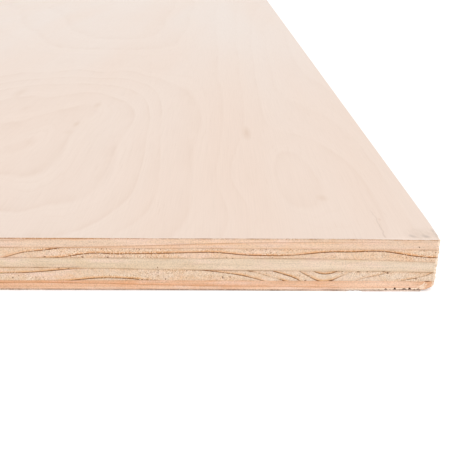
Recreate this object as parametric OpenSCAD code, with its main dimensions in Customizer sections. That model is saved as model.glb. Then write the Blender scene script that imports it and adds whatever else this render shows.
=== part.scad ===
// Hardwood-faced plywood sheet of seven plies.
// The sheet lies flat with its back down. X runs along the short end, Y along
// the long edge and the face grain, and Z up. The origin is in the middle of
// the back. The plies alternate: face, back and long plies have their grain
// along Y, and the crossbands between them have theirs along X.

/* [Sheet] */
// Width of the sheet, across the face grain
sheet_w = 1220; // [300:1:1830]
// Length of the sheet, along the face grain
sheet_l = 2440; // [300:1:3660]

/* [Layup] */
// Thickness of the sanded face veneer
face_veneer_t = 0.6; // [0.3:0.1:2]
// Thickness of each of the two crossbands that lie next to the veneers
outer_crossband_t = 2.9; // [1:0.1:6]
// Thickness of each of the two plies whose grain runs with the face
long_ply_t = 3.7; // [1:0.1:6]
// Thickness of the crossband in the middle of the core
centre_crossband_t = 3.8; // [1:0.1:6]
// Thickness of the back veneer
back_veneer_t = 0.6; // [0.3:0.1:2]

/* [Broken corner] */
// Reach along the short end of the chip knocked off the lower crossband
chip_w = 3.7; // [1:0.1:20]
// Reach along the long edge of the chip knocked off the lower crossband
chip_l = 7; // [1:0.1:40]
// Height of that chip on the corner of the sheet
chip_h = 1.8; // [0.5:0.1:2.8]
// Reach along the short end of the gap where the back veneer has come loose
gap_w = 23; // [5:0.5:60]
// Reach along the long edge of that gap
gap_l = 14; // [5:0.5:60]
// Height of that gap on the corner of the sheet
gap_h = 0.7; // [0.2:0.1:2]
// Reach along the short end of the corner torn off the back veneer
tear_w = 4.1; // [1:0.1:20]
// Reach along the long edge of the corner torn off the back veneer
tear_l = 9; // [1:0.1:40]
// Width of the nick in the back veneer's end
nick_w = 5; // [1:0.1:15]
// Depth of that nick, from the end of the sheet
nick_depth = 0.8; // [0.5:0.1:10]
// Distance from the corner of the sheet to the middle of that nick
nick_from_corner = 25; // [15:0.5:200]

/* [Hidden] */

// Heights of the glue lines, from the back up
lower_crossband_z = back_veneer_t;
lower_long_ply_z = lower_crossband_z + outer_crossband_t;
centre_crossband_z = lower_long_ply_z + long_ply_t;
upper_long_ply_z = centre_crossband_z + centre_crossband_t;
upper_crossband_z = upper_long_ply_z + long_ply_t;
face_veneer_z = upper_crossband_z + outer_crossband_t;

// The broken corner, where the front end meets the right edge
corner_x = sheet_w / 2;
corner_y = -sheet_l / 2;

// How far a cut runs past the face that it opens
overrun = 1;

// Wood colours: sanded birch outside, softwood inside, and a redder last crossband
birch = [0.94, 0.87, 0.81];
birch_back = [0.86, 0.74, 0.65];
softwood = [0.92, 0.80, 0.69];
red_softwood = [0.91, 0.72, 0.58];

// Points of the torn line from the short end to the long edge, as shares of its
// reach along each of them
tear_shares = [
    [1, 0],
    [0.86, 0.3],
    [0.62, 0.24],
    [0.5, 0.58],
    [0.27, 0.64],
    [0.18, 0.9],
    [0, 1]
];

// Points of the nick's edge, as shares of its half width and of its depth
nick_shares = [
    [-1, 0],
    [-0.55, 0.75],
    [-0.2, 0.5],
    [0.15, 1],
    [0.6, 0.6],
    [1, 0]
];

// One flat ply of the sheet, lying at height z
module ply(z, t) {
    translate([-sheet_w / 2, -sheet_l / 2, z])
        cube([sheet_w, sheet_l, t]);
}

// A three-sided wedge on the broken corner: the solid below the plane that
// meets the short end at w, the long edge at l and the corner at h above z
module corner_wedge(z, w, l, h) {
    grown = 1 + overrun / w + overrun / l + overrun / h;
    translate([corner_x + overrun, corner_y - overrun, z - overrun])
        polyhedron(
            points = [[0, 0, 0], [-w * grown, 0, 0], [0, l * grown, 0], [0, 0, h * grown]],
            faces = [[0, 2, 1], [0, 1, 3], [0, 3, 2], [1, 2, 3]]
        );
}

// Outline of the corner that is missing from the back veneer
module torn_corner() {
    torn_line = [for (s = tear_shares) [corner_x - s.x * tear_w, corner_y + s.y * tear_l]];
    polygon(concat(
        torn_line,
        [
            [corner_x + overrun, corner_y + tear_l],
            [corner_x + overrun, corner_y - overrun],
            [corner_x - tear_w, corner_y - overrun]
        ]
    ));
}

// Outline of the nick in the back veneer's end
module end_nick() {
    middle_x = corner_x - nick_from_corner;
    nick_line = [
        for (s = nick_shares) [middle_x + s.x * nick_w / 2, corner_y + s.y * nick_depth]
    ];
    polygon(concat(
        nick_line,
        [
            [middle_x + nick_w / 2, corner_y - overrun],
            [middle_x - nick_w / 2, corner_y - overrun]
        ]
    ));
}

module face_veneer() {
    color(birch) ply(face_veneer_z, face_veneer_t);
}

module upper_crossband() {
    color(softwood) ply(upper_crossband_z, outer_crossband_t);
}

module upper_long_ply() {
    color(softwood) ply(upper_long_ply_z, long_ply_t);
}

module centre_crossband() {
    color(softwood) ply(centre_crossband_z, centre_crossband_t);
}

module lower_long_ply() {
    color(softwood) ply(lower_long_ply_z, long_ply_t);
}

// The last crossband has lost its corner, and splinters over the loose veneer
module lower_crossband() {
    color(red_softwood)
        difference() {
            ply(lower_crossband_z, outer_crossband_t);
            corner_wedge(lower_crossband_z, chip_w, chip_l, chip_h);
            corner_wedge(lower_crossband_z, gap_w, gap_l, gap_h);
        }
}

// The back veneer is torn off at the corner and nicked beside it
module back_veneer() {
    color(birch_back)
        linear_extrude(height = back_veneer_t)
            difference() {
                square([sheet_w, sheet_l], center = true);
                torn_corner();
                end_nick();
            }
}

face_veneer();
upper_crossband();
upper_long_ply();
centre_crossband();
lower_long_ply();
lower_crossband();
back_veneer();
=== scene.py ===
"""The looks of a seven-ply plywood sheet, seen at its broken front-right corner.

Each ply is a closed mesh that stands for its solid. Its sides follow the wavy glue
lines and carry the relief of sawn wood, finest on the stretch of the front end that the
photograph shows. Lines read in the photograph, such as growth rings, are kept as its
pixels and laid on the sheet through the camera.
"""
import math
from typing import NamedTuple

import bpy
import numpy as np
from mathutils import Matrix, Vector


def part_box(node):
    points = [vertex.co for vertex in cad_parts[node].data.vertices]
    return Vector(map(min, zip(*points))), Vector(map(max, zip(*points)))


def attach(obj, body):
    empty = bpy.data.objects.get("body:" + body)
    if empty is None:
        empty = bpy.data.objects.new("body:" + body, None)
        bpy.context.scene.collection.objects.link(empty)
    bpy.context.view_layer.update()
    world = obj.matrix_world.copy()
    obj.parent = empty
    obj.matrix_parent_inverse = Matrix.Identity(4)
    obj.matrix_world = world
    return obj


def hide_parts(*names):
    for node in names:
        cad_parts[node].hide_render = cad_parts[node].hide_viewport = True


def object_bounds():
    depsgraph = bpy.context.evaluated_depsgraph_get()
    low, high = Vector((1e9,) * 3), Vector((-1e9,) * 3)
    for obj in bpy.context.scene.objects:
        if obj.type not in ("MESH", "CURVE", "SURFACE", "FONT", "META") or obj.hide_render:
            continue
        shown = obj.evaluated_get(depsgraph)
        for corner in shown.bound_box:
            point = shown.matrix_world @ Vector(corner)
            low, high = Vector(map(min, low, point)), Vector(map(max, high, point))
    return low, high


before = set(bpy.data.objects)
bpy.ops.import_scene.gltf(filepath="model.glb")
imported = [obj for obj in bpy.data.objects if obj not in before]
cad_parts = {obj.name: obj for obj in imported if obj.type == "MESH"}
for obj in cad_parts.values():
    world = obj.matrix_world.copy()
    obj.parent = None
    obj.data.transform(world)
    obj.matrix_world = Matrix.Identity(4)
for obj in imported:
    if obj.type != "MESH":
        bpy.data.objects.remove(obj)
CAD_LOW, CAD_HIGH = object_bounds()


def srgb(red, green, blue):
    """A colour as read in the photograph, 0 to 255, in the linear values of a shader."""
    shares = [v / 255 for v in (red, green, blue)]
    linear = [s / 12.92 if s <= 0.04045 else ((s + 0.055) / 1.055) ** 2.4 for s in shares]
    return (*linear, 1.0)


class Grain(NamedTuple):
    """Noise of several sizes, each half as large as the one before.

    It has a cell size for each axis, a first seed, and the seed's step from ply to ply.
    """

    strength: float
    cell: tuple
    seed: int
    octaves: int = 3
    seed_step: int = 0

    def at(self, points, order=0):
        """The noise at points in metres, in the ply with this place in the order."""
        seed = self.seed + self.seed_step * order
        sizes = [noise(points, np.array(self.cell) / 2**i, seed + i) / 2**i for i in range(self.octaves)]
        return self.strength * sum(sizes) / OCTAVES_SPAN


MM = 0.001

# The camera, placed from the broken corner of the face
CORNER = Vector((CAD_HIGH.x, CAD_LOW.y, CAD_HIGH.z))
CAMERA_OFFSET = Vector((-67.15, -179.0, 83.37)) * MM
CAMERA_PITCH, CAMERA_YAW, CAMERA_ROLL = (math.radians(turn) for turn in (23.776, -0.375, 0.357))
CAMERA_LENS, CAMERA_SENSOR, CAMERA_CLIP = 52.0, 36.0, (0.01, 50.0)
PHOTO_SIDE = 450
# Rows of the photograph that run along the middle and the foot of the front end
END_ROW, FOOT_ROW = 265, 290

# The floor and the light
FLOOR_REACH, FLOOR_Z = 30.0, -0.05 * MM
FLOOR_COLOUR, FLOOR_GLOW = (0.84, 0.84, 0.84, 1), 0.3
SURROUND_LIGHT, SURROUND_SEEN = 0.6, 1.0
KEY_ENERGY, KEY_ANGLE, KEY_WAY = 1.75, math.radians(50), Vector((-0.25, 0.62, -0.95))

# The plies from the face down: the axis that their fibres run along and their record slot
PLIES = {
    "face_veneer": ("y", "birch_face"),
    "upper_crossband": ("x", "softwood_crossband"),
    "upper_long_ply": ("y", "softwood_long_ply"),
    "centre_crossband": ("x", "softwood_crossband"),
    "lower_long_ply": ("y", "softwood_long_ply"),
    "lower_crossband": ("x", "red_softwood_crossband"),
    "back_veneer": ("y", "birch_back"),
}
NODES = list(PLIES)
# Numbers of the sheet's sides, anticlockwise from the front end. The left edge is the last.
FRONT, RIGHT, REAR, SIDE_COUNT = 0, 1, 2, 4

# Birch surfaces: the name of the material, its pale and warm wood, its figure and how
# strongly that shows
BIRCH_SURFACES = {
    "face_veneer": ("birch_face", srgb(236, 225, 217), srgb(236, 212, 195), srgb(206, 172, 146), 0.28),
    "back_veneer": ("birch_back", srgb(226, 200, 176), srgb(219, 187, 160), srgb(176, 132, 98), 0.4),
}
# Sawn sides: the name of the material, its pale, warm and tan wood and dark lines, and how
# strongly rings show on end grain and on long grain
SAWN_SIDES = {
    "face_veneer": (
        "birch_face_edge", srgb(238, 212, 187), srgb(204, 151, 106), srgb(218, 172, 132),
        srgb(156, 102, 60), 0.15, 0.1,
    ),
    "upper_crossband": (
        "upper_crossband", srgb(234, 209, 188), srgb(242, 206, 174), srgb(236, 182, 138),
        srgb(166, 108, 62), 0.9, 0.6,
    ),
    "upper_long_ply": (
        "upper_long_ply", srgb(239, 211, 185), srgb(239, 201, 167), srgb(234, 174, 120),
        srgb(126, 72, 30), 1.0, 0.3,
    ),
    "centre_crossband": (
        "centre_crossband", srgb(239, 217, 194), srgb(228, 204, 174), srgb(224, 190, 152),
        srgb(146, 98, 58), 0.8, 0.06,
    ),
    "lower_long_ply": (
        "lower_long_ply", srgb(240, 217, 195), srgb(229, 196, 163), srgb(230, 174, 116),
        srgb(124, 74, 32), 1.0, 0.3,
    ),
    "lower_crossband": (
        "lower_crossband", srgb(246, 208, 180), srgb(228, 178, 140), srgb(228, 162, 112),
        srgb(176, 110, 62), 0.8, 0.75,
    ),
    "back_veneer": (
        "birch_back_edge", srgb(238, 214, 198), srgb(186, 160, 144), srgb(196, 166, 146),
        srgb(108, 78, 62), 0.3, 0.2,
    ),
}
# Other colours of the wood: pinkish patches, painted shade in the voids and the gap, torn fibres, pale specks
# on end grain, the pale wood beside the figure's lines, knots, and the marks on the face
BLUSH = srgb(246, 214, 196)
VOID_SHADE = srgb(120, 76, 44)
TORN_PALE = srgb(255, 236, 214)
SPECK_PALE = srgb(255, 238, 216)
EARLY_WOOD, EARLY_WOOD_SHOWN = srgb(250, 236, 224), 0.2
KNOT_BROWN = srgb(196, 156, 120)
CRACK_BROWN = srgb(150, 118, 98)
SCUFF_GREY = srgb(206, 184, 164)
SMUDGE_GREY = srgb(150, 138, 130)
# Height of the fibres on sawn and on sanded wood
SAWN_BUMP, SANDED_BUMP = 0.12 * MM, 0.02 * MM

# The broken corner, at the sizes of the solids
CHIP_W, CHIP_L, CHIP_H = 3.7 * MM, 7 * MM, 1.8 * MM
GAP_W, GAP_L, GAP_H = 23 * MM, 14 * MM, 0.7 * MM
TEAR_W, TEAR_L = 4.1 * MM, 9 * MM
TEAR_SHARES = [(1, 0), (0.86, 0.3), (0.62, 0.24), (0.5, 0.58), (0.27, 0.64), (0.18, 0.9), (0, 1)]
NICK_FROM_CORNER, NICK_W, NICK_DEPTH = 25 * MM, 5 * MM, 0.8 * MM
NICK_SHARES = [(-1, 0), (-0.55, 0.75), (-0.2, 0.5), (0.15, 1), (0.6, 0.6), (1, 0)]
# How the chip is hollowed, and the roughness of the chip and the gap
CHIP_CURVE = 1.6
CHIP_GRAIN = Grain(0.2, (0.9 * MM, 3 * MM, 1), 73)
GAP_GRAIN = Grain(0.3, (2.5 * MM, 4 * MM, 1), 71)
# How far past the chip its pale wood goes on in the gap, as a share of its reach
CHIP_MARGIN = 0.4
# Splinters that hang down to the loose veneer at the front end: the height that they leave
# open, how far in they start to give way and end, and how that height varies
SPLINTER_GAP, SPLINTER_REACH = 0.06 * MM, (0.3 * MM, 1.6 * MM)
SPLINTER_GRAIN = Grain(0.8, (0.8 * MM, 1, 1), 75)
# Openings between the splinters: the middle and half the width in pixels, and the height.
# Their flanks run out so many half widths from the middle, and their heights vary.
OPENINGS = [
    (372, 1.5, 0.10 * MM), (378, 1.4, 0.14 * MM), (385, 1.4, 0.5 * MM), (389, 1.0, 0.16 * MM),
    (394, 1.2, 0.78 * MM), (399, 1.3, 0.2 * MM), (403.6, 2.6, 0.52 * MM), (408.9, 1.5, 0.85 * MM),
    (413.8, 1.1, 0.34 * MM), (417.6, 1.9, 0.46 * MM),
]
OPENING_FLANK = 1.3
OPENING_GRAIN = Grain(0.35, (0.55 * MM, 1, 1), 79)

# Glue lines on the front end, named by the ply above them, in pixels of the photograph
GLUE_LINES = {
    "face_veneer": [(0, 238.5), (100, 238.7), (200, 239.1), (300, 239.7), (400, 240.4), (436, 240.7)],
    "upper_crossband": [(0, 247), (60, 247.5), (150, 248), (250, 248.5), (340, 249), (436, 249.8)],
    "upper_long_ply": [
        (0, 257), (100, 257.5), (200, 258), (300, 258.5), (340, 259), (380, 260), (410, 261.2),
        (436, 262.2),
    ],
    "centre_crossband": [
        (0, 266.8), (60, 267.2), (100, 267.8), (150, 268.8), (200, 269.6), (250, 270.3), (300, 270.6),
        (350, 271), (380, 271.2), (436, 272.2),
    ],
    "lower_long_ply": [(0, 280), (100, 280), (200, 280.2), (300, 280.6), (400, 281), (436, 281.4)],
}
# Waves of the glue lines, and the share of them that is kept where the lines are photographed.
# The line over the back veneer is less wavy everywhere, and less again where it is photographed.
GLUE_WAVES = Grain(0.14 * MM, (90 * MM, 90 * MM, 1), 11, 2, 1)
WAVES_SEEN, BACK_WAVES, BACK_WAVES_SEEN = 0.5, 0.4, 0.2
# How far the dark line at the foot of a ply fades, and how strongly it shows. It is a glue line under all but
# the back veneer, where it is painted shade along the foot on the floor.
GLUE_AND_SHADE_FADE = 0.13 * MM
GLUE_AND_FOOT_SHADE_SHOWN = dict(zip(NODES, (0.12, 0.6, 0.5, 0.75, 0.3, 0.6, 0.7)))
# The ochre stain that spreads from the glue lines at the foot and the top of some plies
STAIN_FADE = 0.55 * MM
STAINS = {
    "upper_crossband": (0.35, 0),
    "centre_crossband": (0.45, 0.35),
    "lower_long_ply": (0.05, 0.2),
}

# Growth rings on the front end, in pixels, each with its number
RING_LINES = {
    "upper_crossband": [
        (0, [
            (0, 249), (60, 247), (100, 246), (150, 245), (200, 243.5), (250, 242.3), (300, 242),
            (436, 242),
        ]),
    ],
    "upper_long_ply": [
        (1, [(0, 257.5), (5, 257), (20, 252.5), (30, 251), (40, 250.3), (52, 248.5), (60, 247.6)]),
        (0, [
            (44, 258), (58, 257.5), (70, 255.5), (85, 253.6), (97, 252.6), (105, 253.4), (130, 253.6),
            (160, 253.1), (195, 252.2), (215, 252.2), (228, 253.2), (240, 254.6), (260, 255.3),
            (275, 255.6), (290, 255.3), (300, 254.4), (318, 252.8), (335, 251.6), (350, 252),
            (365, 251.3), (375, 250.9), (390, 252.2), (405, 254.5), (420, 256.7), (437, 257.6),
        ]),
    ],
    "lower_long_ply": [
        (0, [(0, 272.7), (20, 272.5), (40, 271.3), (57, 269.8)]),
        (-1, [(75, 279.8), (88, 278.5), (100, 277.6), (110, 277.8), (125, 278), (140, 279.3)]),
        (0, [
            (125, 268.6), (160, 268.6), (190, 269.4), (205, 270.3), (215, 271.4), (225, 272.8),
            (240, 275), (262, 280.5),
        ]),
        (1, [(249.5, 271), (265, 275), (284, 280.5)]),
        (2, [(272.5, 271), (286, 275.5), (299, 280.5)]),
        (3, [(300, 271), (309, 276), (318, 281)]),
        (4, [(313, 271.3), (319, 273.2), (325, 274.2), (331, 273.2), (335, 271.8)]),
        (3, [(330, 280.5), (340, 276), (350, 272)]),
        (2, [(360, 279), (369, 277), (378, 275), (388, 272)]),
        (1, [(398, 281), (420, 277), (436, 271)]),
    ],
    "lower_crossband": [
        (0, [
            (0, 282.5), (40, 282.2), (75, 282.7), (110, 283.3), (150, 284.4), (180, 285.1),
            (220, 285.8), (260, 286.2), (300, 286.6), (345, 287), (436, 287.3),
        ]),
    ],
}
# Rings elsewhere: how far apart they lie, and how they swell across the fibres and drift along
RING_SPACING = 3.0 * MM
RING_SWELL = Grain(9 * MM, (0.11, 1, 1), 31, 3, 7)
RING_DRIFT = Grain(2.5 * MM, (0.7, 1, 1), 34, 2, 7)
# The field through the rings that were read: its unit along x and z, softness and slack
RING_UNIT, RING_SOFTNESS, RING_SLACK = (9 * MM, 3 * MM), 1.2, 0.003
# The step in which the rings' width is measured, its least and most in millimetres, and the
# least change that is divided by
RING_PROBE, RING_WIDTHS, LEAST_CHANGE = 0.05 * MM, (0.4, 9.0), 1e-6
# The dark end of a ring, as a share of it
LATEWOOD_SHARE = 0.3
# Plies that lie with the dark ends of their rings up
RINGS_TURNED = ("upper_crossband",)
# How clearly the rings of a ply show at pixels along the front end, where 1 is the strength in
# SAWN_SIDES, and on the other sides
RINGS_SHOWN = {
    "upper_crossband": [
        (0, 0.4), (100, 0.6), (140, 0.7), (225, 0.75), (245, 0.55), (300, 0.6), (360, 0.45), (395, 0.1),
        (436, 0),
    ],
    "upper_long_ply": [
        (0, 0.95), (110, 1), (125, 1.4), (170, 1.4), (190, 1.12), (340, 1.08), (360, 1.4), (410, 1.45),
        (436, 1.3),
    ],
    "lower_long_ply": [
        (0, 1.1), (60, 1.1), (80, 1.28), (140, 1.28), (190, 1.3), (245, 1.25), (252, 0.7), (268, 0.8),
        (275, 1.1), (295, 1.1), (302, 0.6), (312, 0.75), (320, 1.2), (330, 1.2), (345, 0.5), (380, 0.5),
        (400, 0.9), (420, 0.6), (436, 0.6),
    ],
    "lower_crossband": [(0, 1), (60, 0.8), (120, 0.65), (220, 0.5), (300, 0.4), (436, 0.3)],
}
RINGS_SHOWN_ELSEWHERE = 0.8

# Small voids on the front end, dented and painted dark as shade: the middle, and half the width and height,
# in pixels. All have one depth and fall off at one rate.
VOIDS = [
    (44, 256.7, 0.8, 0.6), (82, 257, 0.8, 0.6), (107, 257.2, 0.7, 0.6), (58, 268, 1.2, 0.4),
    (67.5, 268.9, 1.1, 0.4), (12, 277.6, 0.6, 0.9), (157, 267.3, 0.5, 0.7), (165, 279, 0.7, 0.6),
    (222.2, 277.3, 0.6, 1.3), (229.5, 277.2, 0.5, 0.8), (226, 257.8, 0.5, 0.5), (232, 258.2, 0.5, 0.5),
    (336.4, 271.6, 0.9, 0.4), (342, 271.5, 0.8, 0.4), (358, 271.9, 2.0, 0.5), (367, 271.7, 1.0, 0.4),
    (383.3, 271.8, 1.3, 0.5), (387.2, 272.9, 1.1, 0.9), (304.8, 280.2, 0.9, 0.5), (330.6, 280.5, 2.2, 0.4),
    (419.1, 247.3, 0.5, 0.7), (427, 281.2, 3.0, 0.4), (415.6, 278.6, 0.5, 1.6),
]
VOID_DEPTH, VOID_FALL = 0.45 * MM, 1.1

# Patches of the front end where rings, glue lines and the painted shade at the foot fade: the middle, and
# half the width and height, in pixels, and the share that is lost
FADES = [
    (100, 269, 36, 2.0, 0.9), (165, 269.2, 40, 1.6, 0.5), (188, 279, 46, 3.0, 1.0),
    (258, 273, 8, 2.5, 0.7), (272, 277.5, 10, 3.5, 0.8), (290, 271, 16, 1.2, 0.6),
    (315, 270.6, 14, 0.7, 0.7), (358, 271.6, 24, 1.0, 0.6), (400, 281, 30, 1.4, 0.6),
    (355, 249.2, 55, 1.0, 0.55), (402, 260.8, 30, 1.2, 0.5), (66, 257, 8, 1.6, 0.4),
    (356, 289, 9, 1.2, 0.9), (374, 289.2, 14, 1.2, 0.8), (419.5, 276.5, 4, 2.5, 0.7),
]

# Torn pale fibres on the front end: along the foot of the lower crossband and beside its
# chip, each with its strength and its line in pixels
TORN_LINES = [
    (0.32, [(0, 287), (80, 287), (150, 287.4), (250, 288), (310, 288.4), (345, 288.8)]),
    (0.9, [
        (345, 288.9), (360, 289), (376, 288.8), (390, 288.4), (404, 288.3), (415, 288.4), (421, 288.1),
        (424, 286.9), (425.4, 285.4), (425.8, 283.6),
    ]),
    (0.8, [(417, 286.8), (420.5, 285.6), (423, 284), (424, 282.4)]),
    (0.7, [(419, 287.5), (422.4, 286.2), (424.4, 284.4)]),
]
TORN_HALF_WIDTH = 0.19 * MM

# How pale the wood of a ply is along the front end, from 0 to 1 at pixels of the photograph
TONES = {
    "face_veneer": [
        (0, 0), (60, 0.08), (110, 0.44), (150, 0.75), (240, 0.76), (300, 0.86), (340, 0.9), (390, 0.78),
        (436, 0.8),
    ],
    "upper_crossband": [(0, 0.75), (100, 0.6), (200, 0.25), (330, 0.35), (436, 0.7)],
    "upper_long_ply": [(0, 0.45), (60, 0.6), (120, 0.45), (250, 0.4), (436, 0.6)],
    "centre_crossband": [(0, 0.3), (120, 0.4), (250, 0.65), (436, 0.8)],
    "lower_long_ply": [(0, 0.35), (120, 0.45), (250, 0.6), (340, 0.75), (436, 0.75)],
    "lower_crossband": [
        (0, 0.15), (60, 0.2), (120, 0.35), (250, 0.45), (330, 0.7), (420, 0.65), (428, 0.35), (436, 0.3),
    ],
    "back_veneer": [
        (0, 0.68), (45, 0.5), (72, 0.14), (120, 0.08), (175, 0.14), (200, 0.22), (240, 0.28), (300, 0.48),
        (345, 0.55), (356, 1.0), (367, 0.6), (384, 0.35), (388, 0.8), (415, 0.85), (419, 0.4), (422, 0.4),
    ],
}
# The same elsewhere: the mean, which the back surface has too, and how it varies
TONE_MEAN, TONE_GRAIN = 0.5, Grain(0.35, (0.16, 0.16, 1), 201, 3, 1)
# How much paler the lower crossband is at its foot than at its top
PALE_FOOT = 0.8

# The dark line along the arris of the face
ARRIS_FADE, ARRIS_SHOWN = 0.18 * MM, 0.8
# How far the arris of the face is worn down at the broken corner, where that starts to fade
# and ends along the front end, and how many times faster it fades along the right edge
ARRIS_WORN, ARRIS_WORN_REACH, ARRIS_EDGE_RATE = 0.26 * MM, (6 * MM, 26 * MM), 2
# Height to which the lower arris of the front end is rounded off, at pixels
FOOT_WORN = [
    (0, 0.04 * MM), (60, 0.1 * MM), (120, 0.16 * MM), (165, 0.25 * MM), (195, 0.25 * MM),
    (225, 0.18 * MM), (260, 0.08 * MM), (300, 0), (436, 0),
]

# Relief of the sawn sides: its mean depth, what swells, fibres and end grain add, how far
# fibres stretch along a side, and the share kept where the sides are coarse
RELIEF_DEPTH, FIBRE_STRETCH, COARSE_RELIEF = 0.07 * MM, 8, 0.35
SIDE_SWELL = Grain(0.07 * MM, (18 * MM, 18 * MM, 2 * MM), 110, 1, 13)
SIDE_FIBRES = Grain(0.06 * MM, (0.8 * MM, 0.8 * MM, 0.7 * MM), 101, 3, 13)
END_GRAIN = Grain(0.05 * MM, (0.7 * MM, 0.7 * MM, 0.7 * MM), 106, 2, 13)
# Fraying of the broken corner's upright arris: the mean depth, how it varies, and its reach
FRAYED_DEPTH, FRAYED_REACH = 0.15 * MM, 0.6 * MM
FRAYED_GRAIN = Grain(1.2 * MM, (1.1 * MM, 1.1 * MM, 0.8 * MM), 116, 4, 13)
# The rubbed top of that arris: its depth, how far below the face it starts and is full, how
# far it reaches along the front end, and where it starts to fade and ends along the right edge
RUBBED_DEPTH, RUBBED_BAND = 0.38 * MM, (3.2 * MM, 0.4 * MM)
RUBBED_ON_END, RUBBED_ON_EDGE = 0.4 * MM, (0.8 * MM, 3.6 * MM)
# The pale frayed strip along that arris: where it starts to fade and ends on the front end
# and on the right edge, and how clearly it shows
STRIP_ON_END, STRIP_ON_EDGE = (0.55 * MM, 1.15 * MM), (0.5 * MM, 3 * MM)
STRIP_SHOWN, STRIP_GRAIN = 0.6, Grain(0.25, (0.6 * MM, 0.6 * MM, 1.5 * MM), 77)

# Lines of the face's figure, in pixels, each with the number of its ring
FIGURE_LINES = [
    (4.6, [(0, 138), (14, 136), (30, 130), (46, 121)]),
    (4.96, [(0, 153), (13, 153), (25, 148), (37, 140)]),
    (4, [(0, 124.5), (17, 123), (30, 118), (43, 115), (60, 110), (80, 107), (97, 104)]),
    (4, [
        (0, 172), (17, 175), (33, 173), (47, 165), (57, 157), (63, 145), (70, 135), (76, 124), (83, 115),
    ]),
    (3, [
        (0, 210), (20, 213), (40, 204), (63, 200), (80, 196), (92, 187), (103, 173), (112, 158),
        (117, 143), (123, 132), (132, 118), (133, 111), (127, 103), (110, 97), (60, 96), (0, 101),
    ]),
    (2, [
        (0, 234), (60, 234), (77, 230), (93, 222), (110, 212), (123, 202), (133, 188), (138, 175),
        (142, 160), (144, 147), (147, 133), (150, 117), (147, 103), (140, 95), (127, 88), (110, 85),
        (83, 83), (40, 84), (0, 90),
    ]),
    (1, [
        (110, 234), (123, 228), (137, 218), (150, 203), (155, 190), (157, 170), (159, 150), (158, 130),
        (160, 112), (158, 98), (150, 86), (130, 79),
    ]),
    (0, [
        (173, 231), (182, 220), (186, 210), (187, 193), (185, 183), (189, 170), (190, 157), (192, 147),
        (197, 133), (201, 123), (200, 112), (194, 100), (185, 90), (165, 81), (143, 75), (100, 72),
        (50, 72), (0, 76),
    ]),
    (-0.5, [(0, 20), (14, 45), (40, 63), (90, 62), (140, 63), (185, 70)]),
    (0, [
        (23, 10), (40, 33), (60, 46), (97, 48.5), (140, 48.5), (168, 46), (180, 34), (188, 14), (192, 0),
    ]),
    (1, [(48, 8), (70, 28), (100, 38), (140, 38), (160, 30), (172, 10), (175, 0)]),
    (1.6, [(100, 15), (130, 15)]),
    (-1, [
        (222, 233), (228, 218), (229, 211), (220, 193), (217, 180), (218, 160), (219, 140), (221, 115),
        (220, 90), (217, 60), (217, 43), (216, 20), (219, 0),
    ]),
    (-2, [
        (248, 232), (251, 213), (246, 202), (238, 193), (230, 180), (229, 170), (233, 157), (237, 143),
        (243, 126), (243, 108), (240, 85), (238, 60), (236, 30), (238, 0),
    ]),
    (-2.6, [(262, 145), (257, 160), (255, 180), (259, 205), (263, 232)]),
    (-2, [
        (277, 156), (289, 150), (303, 162), (311, 174), (319, 184), (325, 194), (313, 200), (301, 204),
        (285, 201),
    ]),
    (-1.6, [(294, 178)]),
    (-2.4, [(300, 222)]),
    (-3, [
        (251, 30), (253, 60), (256, 85), (259, 105), (263, 120), (271, 128), (283, 132), (299, 136),
        (311, 140), (323, 148), (339, 156), (353, 168), (366, 184), (378, 204), (386, 228),
    ]),
    (-4, [
        (262, 30), (266, 55), (271, 78), (279, 94), (292, 103), (308, 109), (330, 120), (352, 138),
        (374, 166), (396, 200), (412, 228),
    ]),
]
# The field through those lines: its unit along x and y, softness and slack
FIGURE_UNIT, FIGURE_SOFTNESS, FIGURE_SLACK = (20 * MM, 60 * MM), 0.6, 0.012
# Width and length of the photographed part of the face, and how far it blends into the rest
FIGURE_AREA, FIGURE_BLEND = (0.45, 0.95), 0.25
# How clearly the figure shows by the right edge, what it gains away from that edge, the shares lost towards
# the rear where painted sheen washes it out, each with where the loss starts and ends, and the level
# elsewhere
FIGURE_SHOWN, FIGURE_GAIN, FIGURE_GAIN_REACH = 0.36, 0.3, (0.05, 0.12)
FIGURE_SHEEN_LOSSES = [(0.15, 0.14, 0.2), (0.35, 0.25, 0.5)]
FIGURE_ELSEWHERE = 0.48
# How pale the face is at its front, the painted sheen that makes it paler towards the rear, and what it then
# loses again further to the rear
FACE_TONE, FACE_PAINTED_SHEEN, FACE_TONE_LOSS = 0.25, 0.35, 0.25
FACE_SHEEN_REACH, FACE_LOSS_REACH = (0.02, 0.6), (0.9, 2.3)

# Brown flecks of the face: the middle in pixels, half the width and length, and how
# strongly each one shows
FLECKS = [
    ((246, 132.5), 2.5 * MM, 14 * MM, 0.3),
    ((20, 92), 4.0 * MM, 16 * MM, 0.17),
    ((25, 108), 3.0 * MM, 8.0 * MM, 0.1),
    ((68, 131.5), 3.2 * MM, 5.0 * MM, 0.1),
    ((76, 123.5), 1.9 * MM, 6.5 * MM, 0.24),
    ((97, 104.5), 2.6 * MM, 9.0 * MM, 0.22),
    ((321.5, 197.5), 2.6 * MM, 4.0 * MM, 0.19),
    ((379, 219), 0.6 * MM, 1.6 * MM, 0.24),
]
# The fine crack in the face and the unit across it, and the grey scuff by the face's corner
# with its half width and length
CRACK_ENDS, CRACK_UNIT = [(370, 209), (386, 237.5)], 1 * MM
SCUFF = ((424, 234.5), 7.0 * MM, 6.5 * MM)
# Grey smudges by that corner: the middle in pixels, and half the width and length
SMUDGES = [
    ((410.3, 235.3), 0.9 * MM, 1.4 * MM), ((413.6, 236.2), 1.0 * MM, 1.5 * MM),
    ((424, 235.6), 1.6 * MM, 1.6 * MM), ((427, 236.4), 1.4 * MM, 1.2 * MM),
    ((432.6, 230.4), 0.8 * MM, 2.2 * MM), ((435.8, 234.4), 1.0 * MM, 2.4 * MM),
]

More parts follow.
